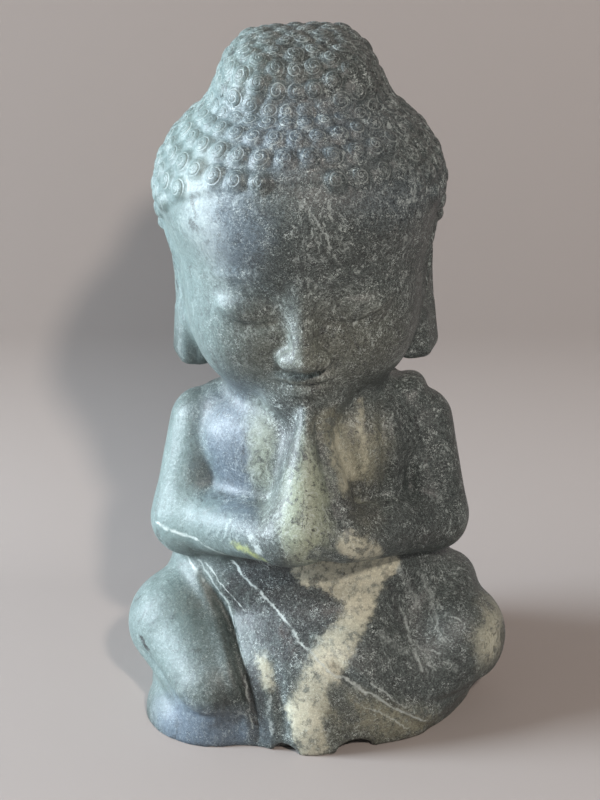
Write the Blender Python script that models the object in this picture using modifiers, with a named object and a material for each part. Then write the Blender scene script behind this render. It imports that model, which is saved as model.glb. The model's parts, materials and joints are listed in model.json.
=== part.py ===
"""A seated child Buddha with joined hands, carved from one block of green serpentine.

The figure is one solid. Big masses, each a primitive, are roughed out and joined by a voxel remesh. Every
point is then moved onto the blended form of the same masses, the hair, the folds and the lines of the face
are raised or sunk along the normals, the mesh is thinned out, and the underside is sawn flat.
Proportions are in units, a 200th of the height each, in a frame that stands on the table: +Z up, the face
towards -Y, and the sitter's left hand on the side of +X.
"""

import math
from collections import namedtuple

import bmesh
import bpy
import numpy as np
from mathutils import Euler, Matrix

# Driving sizes, in metres
HEIGHT = 0.200
CURL_WIDTH = 0.0054
CURL_HEIGHT = 0.0010
HAIR_THICKNESS = 0.0006

UNITS_TALL = 200
UNIT = HEIGHT / UNITS_TALL

# Fineness of the mesh: the two remeshing grains, in units, and the faces that are kept
ROUGH_GRAIN = 2.2
FINE_GRAIN = 1.2
SOLID_FACES = 9300

# The head's own frame: its centre, how far it bows and how far it leans aside
HEAD_CENTRE = (-3.0, -2.0, 145.0)
HEAD_BOW = math.radians(12)
HEAD_LEAN = math.radians(-1.8)
BODY_FRAME = Matrix.Identity(4)
HEAD_FRAME = Matrix.Translation(HEAD_CENTRE) @ Euler((HEAD_BOW, HEAD_LEAN, 0)).to_matrix().to_4x4()

# The hairline is a plane in the head's frame: how fast it falls towards the nape, and its height over the ears
HAIRLINE_FALL = 0.80
HAIRLINE_HEIGHT = 2.2

STONE_GREEN = (0.30, 0.37, 0.34, 1)

Mass = namedtuple("Mass", "shape soft hollow", defaults=(False,))


def length(v):
    return np.sqrt((v * v).sum(axis=-1))


def seen_from(frame, p):
    """Points in world units as seen from a frame."""
    inverse = np.array(frame.inverted())
    return p @ inverse[:3, :3].T + inverse[:3, 3]


class Egg:
    """An ellipsoid: its centre, its radii and its turns in degrees about X, Y and Z."""

    def __init__(self, centre, radii, turns=(0, 0, 0), frame=BODY_FRAME):
        self.centre, self.radii, self.turns, self.frame = centre, radii, turns, frame
        turn = Euler([math.radians(a) for a in turns]).to_matrix().to_4x4()
        self.place = frame @ Matrix.Translation(centre) @ turn

    def other_side(self):
        (x, y, z), (pitch, roll, yaw) = self.centre, self.turns
        return Egg((-x, y, z), self.radii, (pitch, -roll, -yaw), self.frame)

    def distance(self, p):
        """How far the level through a point is from 1, over the slope there."""
        q = seen_from(self.place, p)
        radii = np.array(self.radii, float)
        level = length(q / radii)
        return level * (level - 1) / np.maximum(length(q / radii**2), 1e-6)

    def add_to(self, bm):
        place = self.place @ Matrix.Diagonal((*self.radii, 1))
        bmesh.ops.create_uvsphere(bm, u_segments=24, v_segments=16, radius=1, matrix=place)


class Limb:
    """A round bar between two points, whose radius runs evenly from one end to the other."""

    def __init__(self, start, end, start_radius, end_radius, frame=BODY_FRAME):
        self.ends, self.radii, self.frame = (start, end), (start_radius, end_radius), frame

    def other_side(self):
        start, end = ((-x, y, z) for x, y, z in self.ends)
        return Limb(start, end, *self.radii, self.frame)

    def distance(self, p):
        q = seen_from(self.frame, p)
        start, end = (np.array(e, float) for e in self.ends)
        axis = end - start
        share = np.clip((q - start) @ axis / (axis @ axis), 0, 1)
        thin, thick = self.radii
        return length(q - start - share[:, None] * axis) - (thin + share * (thick - thin))

    def add_to(self, bm):
        beads = 8
        for bead in range(beads + 1):
            share = bead / beads
            place = [a + share * (b - a) for a, b in zip(*self.ends)]
            radius = self.radii[0] + share * (self.radii[1] - self.radii[0])
            matrix = self.frame @ Matrix.Translation(place)
            bmesh.ops.create_uvsphere(bm, u_segments=16, v_segments=10, radius=radius, matrix=matrix)


class Slab:
    """A block with rounded edges: its centre, half its sizes, the rounding, and its turns in degrees."""

    def __init__(self, centre, halves, rounding, turns=(0, 0, 0), frame=BODY_FRAME):
        self.centre, self.halves, self.rounding, self.turns, self.frame = centre, halves, rounding, turns, frame
        turn = Euler([math.radians(a) for a in turns]).to_matrix().to_4x4()
        self.place = frame @ Matrix.Translation(centre) @ turn

    def other_side(self):
        (x, y, z), (pitch, roll, yaw) = self.centre, self.turns
        return Slab((-x, y, z), self.halves, self.rounding, (pitch, -roll, -yaw), self.frame)

    def distance(self, p):
        q = seen_from(self.place, p)
        out = np.abs(q) - (np.array(self.halves, float) - self.rounding)
        return length(np.maximum(out, 0)) + np.minimum(out.max(axis=1), 0) - self.rounding

    def add_to(self, bm):
        place = self.place @ Matrix.Diagonal((*self.halves, 1))
        bmesh.ops.create_cube(bm, size=2, matrix=place)


class Stroke:
    """A line cut or raised along a smooth curve, drawn on the front or the back as the frame sees it.

    Its points are across and up; depth is positive for a groove and negative for a ridge."""

    SAMPLES = 12

    def __init__(self, points, depth, width, frame=BODY_FRAME, front=True):
        self.points, self.depth, self.width, self.frame, self.front = points, depth, width, frame, front

    def path(self):
        """Points along the Bezier curve that the given points steer."""
        share = np.linspace(0, 1, self.SAMPLES)[:, None]
        layer = [np.array(p, float) + 0 * share for p in self.points]
        while len(layer) > 1:
            layer = [a + share * (b - a) for a, b in zip(layer, layer[1:])]
        return layer[0]

    def relief(self, p):
        """How far the surface stands out at each point: less in a groove, fading towards both ends."""
        q = seen_from(self.frame, p)
        path = self.path()
        seen = q[:, [0, 2]]
        nearest = np.full(len(q), np.inf)
        along = np.zeros(len(q))
        for n, (start, end) in enumerate(zip(path, path[1:])):
            axis = end - start
            share = np.clip((seen - start) @ axis / (axis @ axis), 0, 1)
            away = length(seen - start - share[:, None] * axis)
            closer = away < nearest
            nearest = np.where(closer, away, nearest)
            along = np.where(closer, (n + share) / (len(path) - 1), along)
        fade = np.sqrt(np.clip(4 * along * (1 - along), 0, 1)) * 0.85 + 0.15
        right_side = (q[:, 1] < 0) == self.front
        return -self.depth * fade * np.exp(-((nearest / self.width) ** 2)) * right_side


def both(shape):
    return [shape, shape.other_side()]


def joined(a, b, soft):
    """The union of two forms, with a fillet about as wide as soft."""
    overlap = np.maximum(soft - np.abs(a - b), 0) / soft
    return np.minimum(a, b) - overlap**2 * soft / 4


def torso():
    yield Mass(Egg((0, 0, 68), (31.5, 25.5, 38)), 1)
    yield Mass(Egg((-0.5, 0, 84), (34, 24, 18)), 6)
    yield Mass(Limb((-25, 2, 88.5), (24.5, 2, 89), 10, 10), 3)
    yield Mass(Egg((-0.7, 5, 40), (42, 30, 26)), 10)
    yield Mass(Egg((0, 9, 14), (43, 35, 33)), 8)
    yield Mass(Limb((-1, 4, 88), (-2, 3, 110), 22, 21), 5)


def robe():
    """The roll of the robe that comes over the sitter's left shoulder from behind the neck."""
    yield Mass(Limb((30, -2, 91.5), (19, 16, 96.5), 4.4, 4.4), 1.5)
    yield Mass(Egg((29.6, 3, 95.6), (4.2, 8, 4.2)), 3)


def legs():
    """The skirt spread on the ground, the lap, and the folded legs on both sides of it."""
    yield Mass(Egg((0, 1, 0), (50, 42, 20)), 8)
    yield Mass(Egg((-28.5, -18, 0), (21.5, 22, 17)), 4)
    yield Mass(Egg((2, -14, 12), (36, 29, 27)), 7)
    yield Mass(Egg((-1, -29, 4), (14, 15.3, 17)), 5)
    yield Mass(Limb((20, 2, 26), (42, -10, 20.8), 15.5, 15.3), 7)
    yield Mass(Limb((42, -10, 20.8), (25, -24, 8), 15.3, 13), 5)
    yield Mass(Egg((43, 1, 35), (7.5, 11, 6), (0, 20, 0)), 4)
    yield Mass(Limb((-21, 4, 26), (-39.6, -8, 24.2), 15, 15.6), 7)
    yield Mass(Limb((-39.6, -8, 24.2), (-28.5, -27.5, 13.5), 15.6, 13.2), 1.5)


def arms():
    yield Mass(Limb((-32, 2, 85.5), (-37, -5, 57), 10, 10.5), 1.5)
    yield Mass(Limb((31.5, 2, 85.5), (36, -5, 58.5), 10, 10.5), 1.5)
    yield Mass(Limb((-36, -5, 57.5), (-9, -35.5, 65), 10, 7.2), 5)
    yield Mass(Limb((36, -5, 57.5), (9, -35.5, 65), 10, 7.2), 2)


def hands():
    yield Mass(Limb((-1.4, -29, 98), (-3.0, -36, 67), 2.0, 9.3), 5)
    yield Mass(Limb((0.6, -26, 96), (5.4, -32.5, 68), 2.2, 7.2), 0.7)
    for side in both(Limb((0, -21, 94), (4.5, -29, 68), 4.5, 7)):
        yield Mass(side, 5)


def head():
    def egg(*sizes):
        return Egg(*sizes, frame=HEAD_FRAME)

    def limb(*sizes):
        return Limb(*sizes, frame=HEAD_FRAME)

    yield Mass(egg((0, 2, 13.2), (39.2, 38, 27.2)), 3)
    yield Mass(egg((0, 4, 2), (37.6, 37, 30)), 3)
    yield Mass(egg((0.6, 9, 29.5), (24.6, 23, 22)), 3)
    yield Mass(Slab((0.6, 9, 37), (20, 19, 14), 11.5, (0, 0, 0), HEAD_FRAME), 3)
    yield Mass(egg((0, 7, -26), (24, 19, 22)), 6)
    yield Mass(egg((0, 0, -8), (32.5, 33, 34)), 5)
    for side in both(egg((12, -7, -21), (20.5, 25, 24))):
        yield Mass(side, 7)
    yield Mass(egg((0, -22, -31), (14, 10.5, 10)), 6)
    for side in both(egg((13.5, -40, -8), (9.5, 6.5, 6))):
        yield Mass(side, 5, hollow=True)
    for side in both(egg((14, -26.8, -9), (9.3, 6.2, 5.4))):
        yield Mass(side, 2.5)
    for side in both(egg((4.4, -34, -22.5), (3.1, 3.8, 2.7))):
        yield Mass(side, 2)
    yield Mass(limb((0, -31, -3), (0, -37, -21), 2.4, 3.6), 4)
    yield Mass(egg((0, -31.8, -29.3), (8.3, 3.4, 1.9)), 1.6)
    yield Mass(egg((0, -31.4, -32.8), (6.2, 3.6, 2.3)), 1.6)
    yield Mass(egg((0, -26, -39), (10, 7, 7)), 6)
    for side in both(Slab((31.6, 1, -18), (2.3, 9.5, 21), 2.2, (0, -2, -30), HEAD_FRAME)):
        yield Mass(side, 1.5)
    for side in both(Slab((33.2, -1.5, -31.8), (4.0, 5.6, 8.8), 2.8, (0, -7, -20), HEAD_FRAME)):
        yield Mass(side, 5)
    for side in both(egg((35.8, -1.5, -9), (3, 4.5, 9), (0, 0, -30))):
        yield Mass(side, 1.5, hollow=True)


def hem_arches():
    """Two small arches under the hem, either side of the cloth that hangs in front."""
    yield Mass(Egg((12.5, -43, 0), (5.5, 9, 3.4)), 1, hollow=True)
    yield Mass(Egg((-7.5, -44, 0), (3.6, 8, 2.6)), 1, hollow=True)


def strokes():
    """The robe's edge and folds, the layers of the hem, and the lines of the hands and the face."""
    yield Stroke([(19.5, 98), (21.5, 80), (20.5, 68)], 1.3, 1.2)
    yield Stroke([(22.3, 98), (24.3, 80), (23.3, 68)], -1.0, 1.4)
    yield Stroke([(26.5, 92), (29, 78), (28.5, 67)], 1.1, 1.5)
    yield Stroke([(33, 86), (35, 74), (42, 66)], 0.9, 1.6)
    yield Stroke([(-51, 20), (-42, 18), (-40, 8), (-33, 8), (-26, 10)], 1.5, 1.6)
    yield Stroke([(-33, 44), (-26, 34), (-17, 20), (-15.5, 2)], 1.7, 1.1)
    yield Stroke([(-35.5, 43), (-28.5, 33), (-19.5, 19), (-18, 2)], -1.1, 1.8)
    yield Stroke([(53, 10), (42, 5), (32, 9), (20, 20)], 1.4, 1.8)
    yield Stroke([(6, 27), (20, 14), (36, 0)], 1.3, 1.5)
    yield Stroke([(-12, 26), (-7, 14), (-9, 2)], 1.3, 2.0)
    yield Stroke([(0.8, 97), (3.2, 86), (7.6, 68)], 1.0, 0.8)
    yield Stroke([(-34, 66), (-5, 78), (24, 97)], 1.2, 1.8, front=False)
    yield Stroke([(-38, 44), (-4, 60), (32, 86)], 1.2, 2.0, front=False)
    yield Stroke([(-36, 24), (2, 34), (38, 58)], 1.2, 2.2, front=False)
    for side in (-1, 1):
        yield Stroke([(side * 5.5, -11), (side * 14, -16), (side * 23, -9)], 0.7, 0.9, HEAD_FRAME)
        yield Stroke([(side * 5, -2), (side * 13, 4), (side * 24, -1)], -0.6, 1.6, HEAD_FRAME)
    yield Stroke([(-8.5, -30), (0, -32.5), (8.5, -30)], 0.7, 0.7, HEAD_FRAME)


MASSES = [*torso(), *robe(), *legs(), *arms(), *hands(), *head(), *hem_arches()]
STROKES = [*strokes()]
FLOOR_BELOW = 2.0


def figure(p):
    """Distance to the blended masses, in units. The form goes on a little below the table."""
    form = MASSES[0].shape.distance(p)
    for mass in MASSES[1:]:
        distance = mass.shape.distance(p)
        if mass.hollow:
            form = -joined(-form, distance, mass.soft)
        else:
            form = joined(form, distance, mass.soft)
    return -joined(-form, p[:, 2] + FLOOR_BELOW, 1)


def slope_of(form, points, here):
    step = 0.05
    return np.stack([form(points + step * axis) - here for axis in np.eye(3)], 1) / step


def settled(points, form, rounds=4):
    """Points moved along the form's slope until they lie on it."""
    for _ in range(rounds):
        here = form(points)
        slope = slope_of(form, points, here)
        steepness = np.maximum((slope**2).sum(axis=1), 0.1)
        move = np.clip(here / steepness, -3, 3)
        points = points - move[:, None] * slope
    return points


def above_hairline(q):
    """Height above the hairline of points in the head's frame."""
    return (q[:, 2] + HAIRLINE_FALL * q[:, 1] - HAIRLINE_HEIGHT) / math.hypot(1, HAIRLINE_FALL)


def scalp_reach(origin, rays):
    """Where rays that start inside the skull leave it, in the head's frame."""
    reach = np.full(len(rays), 60.0)
    frame = np.array(HEAD_FRAME)
    for _ in range(30):
        q = origin + reach[:, None] * rays
        reach -= figure(q @ frame[:3, :3].T + frame[:3, 3])
    return origin + reach[:, None] * rays


def curl_places():
    """Centres of the snail curls: rows round the crown, each row staggered by half a curl."""
    spacing = CURL_WIDTH / UNIT
    crown = np.array([0, 6, 12.0])
    polar = np.radians(np.arange(0, 160, 0.5))
    profile = scalp_reach(crown, np.stack([np.zeros_like(polar), np.sin(polar), np.cos(polar)], 1))
    run = np.concatenate([[0], np.cumsum(length(np.diff(profile, axis=0)))])
    rows = []
    for row in range(int(run[-1] / spacing)):
        down = np.interp((row + 0.5) * spacing, run, polar)
        widest = np.interp(down, polar, length(profile[:, 1:] - crown[1:])) * math.sin(down)
        around = max(3, round(2 * math.pi * widest / spacing))
        turn = 2 * math.pi * (np.arange(around) + 0.5 * (row % 2)) / around
        flat = math.sin(down)
        rays = [flat * np.sin(turn), flat * np.cos(turn), np.full(around, math.cos(down))]
        rows.append(scalp_reach(crown, np.stack(rays, 1)))
    places = np.concatenate(rows)
    return places[above_hairline(places) > 0.2 * spacing]


def hair_relief(p, places):
    """The hair stands out above the hairline, and each curl is a dome on it."""
    q = seen_from(HEAD_FRAME, p)
    near = np.full(len(q), np.inf)
    for place in places:
        near = np.minimum(near, ((q - place) ** 2).sum(axis=1))
    radius = 0.58 * CURL_WIDTH / UNIT
    dome = CURL_HEIGHT / UNIT * np.maximum(1 - (near / radius**2) ** 1.5, 0)
    height = above_hairline(q)
    cap = HAIR_THICKNESS / UNIT * np.clip(height / 1.5, 0, 1)
    on_head = q[:, 2] > -36
    return (cap + dome) * on_head


def relief(p, places):
    return hair_relief(p, places) + sum(stroke.relief(p) for stroke in STROKES)


def points_of(mesh):
    points = np.empty(len(mesh.vertices) * 3, np.float32)
    mesh.vertices.foreach_get("co", points)
    return points.reshape(-1, 3).astype(float)


def put_points(mesh, points):
    mesh.vertices.foreach_set("co", points.astype(np.float32).ravel())
    mesh.update()


def apply_modifier(obj, kind, **settings):
    """Adds one modifier, keeps its result as the object's mesh and takes the modifier away."""
    modifier = obj.modifiers.new(kind.lower(), kind)
    for name, value in settings.items():
        setattr(modifier, name, value)
    graph = bpy.context.evaluated_depsgraph_get()
    mesh = bpy.data.meshes.new_from_object(obj.evaluated_get(graph))
    obj.modifiers.remove(modifier)
    obj.data = mesh


def rough_out():
    """The masses as one mesh of overlapping primitives, in units."""
    bm = bmesh.new()
    for mass in MASSES:
        if not mass.hollow:
            mass.shape.add_to(bm)
    mesh = bpy.data.meshes.new("rough_out")
    bm.to_mesh(mesh)
    bm.free()
    return mesh


def saw_flat(mesh):
    """Cuts off what is below the table and closes the cut with one flat face."""
    bm = bmesh.new()
    bm.from_mesh(mesh)
    everything = bm.verts[:] + bm.edges[:] + bm.faces[:]
    sawn = bmesh.ops.bisect_plane(
        bm, geom=everything, plane_co=(0, 0, 0), plane_no=(0, 0, 1), clear_inner=True
    )
    rim = [part for part in sawn["geom_cut"] if isinstance(part, bmesh.types.BMEdge)]
    bmesh.ops.contextual_create(bm, geom=rim)
    bmesh.ops.triangulate(bm, faces=bm.faces[:])
    bmesh.ops.recalc_face_normals(bm, faces=bm.faces[:])
    bm.to_mesh(mesh)
    bm.free()


def stone():
    material = bpy.data.materials.new("green_serpentine")
    material.use_nodes = True
    shader = material.node_tree.nodes["Principled BSDF"]
    shader.inputs["Base Color"].default_value = STONE_GREEN
    shader.inputs["Roughness"].default_value = 0.45
    shader.inputs["Metallic"].default_value = 0.0
    return material


def build():
    for old in list(bpy.data.objects):
        bpy.data.objects.remove(old)
    collection = bpy.data.collections.new("buddha_carving")
    bpy.context.scene.collection.children.link(collection)
    obj = bpy.data.objects.new("buddha_carving", rough_out())
    collection.objects.link(obj)

    for grain in (ROUGH_GRAIN, FINE_GRAIN):
        apply_modifier(obj, "REMESH", mode="VOXEL", voxel_size=grain)
        put_points(obj.data, settled(points_of(obj.data), figure))
    points = points_of(obj.data)
    slope = slope_of(figure, points, figure(points))
    normals = slope / length(slope)[:, None]
    points = points + relief(points, curl_places())[:, None] * normals
    put_points(obj.data, points * UNIT)

    apply_modifier(obj, "DECIMATE", ratio=SOLID_FACES / (2 * len(obj.data.polygons)))
    saw_flat(obj.data)
    obj.data.materials.append(stone())
    obj.data.shade_smooth()


build()
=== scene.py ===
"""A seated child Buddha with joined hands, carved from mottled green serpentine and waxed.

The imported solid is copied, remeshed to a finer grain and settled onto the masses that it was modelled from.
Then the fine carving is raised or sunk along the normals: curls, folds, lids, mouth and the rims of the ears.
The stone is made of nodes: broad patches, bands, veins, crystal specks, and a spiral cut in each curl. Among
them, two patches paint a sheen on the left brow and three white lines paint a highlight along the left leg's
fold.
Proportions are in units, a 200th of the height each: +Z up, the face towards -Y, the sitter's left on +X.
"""

import json
import math
from collections import namedtuple

import bmesh
import bpy
import numpy as np
from bpy.props import FloatProperty, FloatVectorProperty, PointerProperty
from mathutils import Euler, Matrix, Vector

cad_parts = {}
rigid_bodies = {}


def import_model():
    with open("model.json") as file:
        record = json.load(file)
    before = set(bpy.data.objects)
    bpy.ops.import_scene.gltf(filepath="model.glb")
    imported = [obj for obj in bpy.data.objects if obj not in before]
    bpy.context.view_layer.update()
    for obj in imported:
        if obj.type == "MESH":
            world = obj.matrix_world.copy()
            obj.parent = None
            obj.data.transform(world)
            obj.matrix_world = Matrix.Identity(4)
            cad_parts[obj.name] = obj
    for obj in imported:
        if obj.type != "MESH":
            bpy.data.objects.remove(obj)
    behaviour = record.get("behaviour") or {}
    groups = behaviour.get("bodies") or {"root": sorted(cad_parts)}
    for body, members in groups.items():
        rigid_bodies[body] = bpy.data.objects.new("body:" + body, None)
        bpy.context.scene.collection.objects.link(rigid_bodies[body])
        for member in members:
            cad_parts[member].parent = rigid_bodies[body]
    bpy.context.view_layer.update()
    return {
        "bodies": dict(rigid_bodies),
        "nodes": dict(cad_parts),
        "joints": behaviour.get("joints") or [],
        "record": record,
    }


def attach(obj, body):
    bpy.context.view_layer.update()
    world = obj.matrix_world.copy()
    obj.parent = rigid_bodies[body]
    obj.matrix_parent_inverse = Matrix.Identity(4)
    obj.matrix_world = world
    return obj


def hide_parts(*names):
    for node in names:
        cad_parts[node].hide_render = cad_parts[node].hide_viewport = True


bl_info = {
    "name": "Buddha Carving",
    "version": (1, 0, 0),
    "blender": (4, 5, 0),
    "location": "3D View > Sidebar > Carving",
    "description": "Dresses the solid of a seated child Buddha as carved and waxed serpentine",
    "category": "Add Mesh",
}

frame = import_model()

UNITS_TALL = 200

# The head's own frame: its centre, how far it bows and how far it leans aside
HEAD_CENTRE = (-3.0, -2.0, 145.0)
HEAD_BOW = math.radians(12)
HEAD_LEAN = math.radians(-1.8)
BODY_FRAME = Matrix.Identity(4)
HEAD_FRAME = Matrix.Translation(HEAD_CENTRE) @ Euler((HEAD_BOW, HEAD_LEAN, 0)).to_matrix().to_4x4()

# The hairline is a plane in the head's frame: how fast it falls to the nape, and its height over the ears
HAIRLINE_FALL = 0.80
HAIRLINE_HEIGHT = 2.2
NAPE_HEIGHT = -36

# The rows of curls go round a point inside the skull, and reach this many degrees down from the crown
CURLS_MIDDLE = (0, 6, 12.0)
CURLS_REACH = 160
CURL_RADIUS = 0.58  # as a share of the distance between curls
SPIRAL_TURN = 2.4  # radians from one curl's spiral to the next

# The shell of an ear from the side, in the head's frame: its centre and radii, back and up
EAR_CENTRE = (-1.0, -9.5)
EAR_RADII = (6.6, 11.5)
EAR_RIM_HEIGHT = 0.9
EAR_FOLD_HEIGHT = 0.5
EAR_STARTS = 29  # this far from the middle of the head

TABLE_EDGE = 0.4  # the rounding where the figure meets the table

Mass = namedtuple("Mass", "shape soft hollow", defaults=(False,))
Patch = namedtuple("Patch", "colour centre radii softness strength", defaults=(0.5, 1.0))
Band = namedtuple("Band", "colour start end width edge strength")


def length(v):
    return np.sqrt((v * v).sum(axis=-1))


def seen_from(place, p):
    """Points in world units as seen from a frame."""
    inverse = np.array(place.inverted())
    return p @ inverse[:3, :3].T + inverse[:3, 3]


class Egg:
    """An ellipsoid: its centre, its radii and its turns in degrees about X, Y and Z."""

    def __init__(self, centre, radii, turns=(0, 0, 0), frame=BODY_FRAME):
        self.centre, self.radii, self.turns, self.frame = centre, radii, turns, frame
        turn = Euler([math.radians(a) for a in turns]).to_matrix().to_4x4()
        self.place = frame @ Matrix.Translation(centre) @ turn

    def other_side(self):
        (x, y, z), (pitch, roll, yaw) = self.centre, self.turns
        return Egg((-x, y, z), self.radii, (pitch, -roll, -yaw), self.frame)

    def distance(self, p):
        """How far the level through a point is from 1, over the slope there."""
        q = seen_from(self.place, p)
        radii = np.array(self.radii, float)
        level = length(q / radii)
        return level * (level - 1) / np.maximum(length(q / radii**2), 1e-6)


class Limb:
    """A round bar between two points, whose radius runs evenly from one end to the other."""

    def __init__(self, start, end, start_radius, end_radius, frame=BODY_FRAME):
        self.ends, self.radii, self.frame = (start, end), (start_radius, end_radius), frame

    def other_side(self):
        start, end = ((-x, y, z) for x, y, z in self.ends)
        return Limb(start, end, *self.radii, self.frame)

    def distance(self, p):
        """Distance to the nearest point of the axis, less the radius there."""
        q = seen_from(self.frame, p)
        start, end = (np.array(e, float) for e in self.ends)
        axis = end - start
        share = np.clip((q - start) @ axis / (axis @ axis), 0, 1)
        first, last = self.radii
        return length(q - start - share[:, None] * axis) - (first + share * (last - first))


class Slab:
    """A block with rounded edges: its centre, half its sizes, the rounding, and its turns in degrees."""

    def __init__(self, centre, halves, rounding, turns=(0, 0, 0), frame=BODY_FRAME):
        self.centre, self.halves, self.rounding = centre, halves, rounding
        self.turns, self.frame = turns, frame
        turn = Euler([math.radians(a) for a in turns]).to_matrix().to_4x4()
        self.place = frame @ Matrix.Translation(centre) @ turn

    def other_side(self):
        (x, y, z), (pitch, roll, yaw) = self.centre, self.turns
        return Slab((-x, y, z), self.halves, self.rounding, (pitch, -roll, -yaw), self.frame)

    def distance(self, p):
        """Distance to the block shrunk by the rounding, less the rounding."""
        q = seen_from(self.place, p)
        out = np.abs(q) - (np.array(self.halves, float) - self.rounding)
        return length(np.maximum(out, 0)) + np.minimum(out.max(axis=1), 0) - self.rounding


class Stroke:
    """A line cut or raised along a smooth curve, drawn on the front or the back as the frame sees it.

    Its points are across and up; depth is positive for a groove and negative for a ridge."""

    SAMPLES = 14

    def __init__(self, points, depth, width, frame=BODY_FRAME, front=True, reach=60):
        self.points, self.depth, self.width = points, depth, width
        self.frame, self.front, self.reach = frame, front, reach

    def path(self):
        """Points along the Bezier curve that the given points steer."""
        share = np.linspace(0, 1, self.SAMPLES)[:, None]
        layer = [np.array(p, float) + 0 * share for p in self.points]
        while len(layer) > 1:
            layer = [a + share * (b - a) for a, b in zip(layer, layer[1:])]
        return layer[0]

    def relief(self, p):
        """How far the surface stands out: a bell curve of the distance to the path, fading at both ends."""
        q = seen_from(self.frame, p)
        path = self.path()
        seen = q[:, [0, 2]]
        nearest = np.full(len(q), np.inf)
        along = np.zeros(len(q))
        for n, (start, end) in enumerate(zip(path, path[1:])):
            axis = end - start
            share = np.clip((seen - start) @ axis / (axis @ axis), 0, 1)
            away = length(seen - start - share[:, None] * axis)
            closer = away < nearest
            nearest = np.where(closer, away, nearest)
            along = np.where(closer, (n + share) / (len(path) - 1), along)
        fade = np.sqrt(np.clip(4 * along * (1 - along), 0, 1)) * 0.85 + 0.15
        right_side = ((q[:, 1] < 0) == self.front) & (np.abs(q[:, 1]) < self.reach)
        return -self.depth * fade * np.exp(-((nearest / self.width) ** 2)) * right_side


def both(shape):
    return [shape, shape.other_side()]


def joined(a, b, soft):
    """The union of two forms, with a fillet about as wide as soft."""
    overlap = np.maximum(soft - np.abs(a - b), 0) / soft
    return np.minimum(a, b) - overlap**2 * soft / 4


def torso():
    """The trunk in eggs, with a bar across the shoulders and one for the neck."""
    yield Mass(Egg((0, 0, 68), (31.5, 25.5, 38)), 1)
    yield Mass(Egg((-0.5, 0, 84), (34, 24, 18)), 6)
    yield Mass(Limb((-25, 2, 88.5), (24.5, 2, 89), 10, 10), 3)
    yield Mass(Egg((-0.7, 5, 40), (42, 30, 26)), 10)
    yield Mass(Egg((0, 9, 14), (43, 35, 33)), 8)
    yield Mass(Limb((-1, 4, 88), (-2, 3, 110), 22, 21), 5)


def robe():
    """The roll of the robe that comes over the sitter's left shoulder from behind the neck."""
    yield Mass(Limb((30, -2, 91.5), (19, 16, 96.5), 4.4, 4.4), 1.5)
    yield Mass(Egg((29.6, 3, 95.6), (4.2, 8, 4.2)), 3)


def legs():
    """The skirt spread on the ground, the lap, and the folded legs on both sides of it."""
    yield Mass(Egg((0, 1, 0), (50, 42, 20)), 8)
    yield Mass(Egg((-28.5, -18, 0), (21.5, 22, 17)), 4)
    yield Mass(Egg((2, -14, 12), (36, 29, 27)), 7)
    yield Mass(Egg((-1, -29, 4), (14, 15.3, 17)), 5)
    yield Mass(Limb((20, 2, 26), (42, -10, 20.8), 15.5, 15.3), 7)
    yield Mass(Limb((42, -10, 20.8), (25, -24, 8), 15.3, 13), 5)
    yield Mass(Egg((43, 1, 35), (7.5, 11, 6), (0, 20, 0)), 4)
    yield Mass(Limb((-21, 4, 26), (-39.6, -8, 24.2), 15, 15.6), 7)
    yield Mass(Limb((-39.6, -8, 24.2), (-28.5, -27.5, 13.5), 15.6, 13.2), 1.5)


def arms():
    """Each arm is two bars: the upper arm, and the sleeve that runs in to the hands."""
    yield Mass(Limb((-32, 2, 85.5), (-37, -5, 57), 10, 10.5), 1.5)
    yield Mass(Limb((31.5, 2, 85.5), (36, -5, 58.5), 10, 10.5), 1.5)
    yield Mass(Limb((-36, -5, 57.5), (-9, -35.5, 65), 10, 7.2), 5)
    yield Mass(Limb((36, -5, 57.5), (9, -35.5, 65), 10, 7.2), 2)


def hands():
    """The joined hands: a bar for each that thins towards the fingertips, and the palms behind them."""
    yield Mass(Limb((-1.4, -29, 98), (-3.0, -36, 67), 2.0, 9.3), 5)
    yield Mass(Limb((0.6, -26, 96), (5.4, -32.5, 68), 2.2, 7.2), 0.7)
    for side in both(Limb((0, -21, 94), (4.5, -29, 68), 4.5, 7)):
        yield Mass(side, 5)


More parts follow.
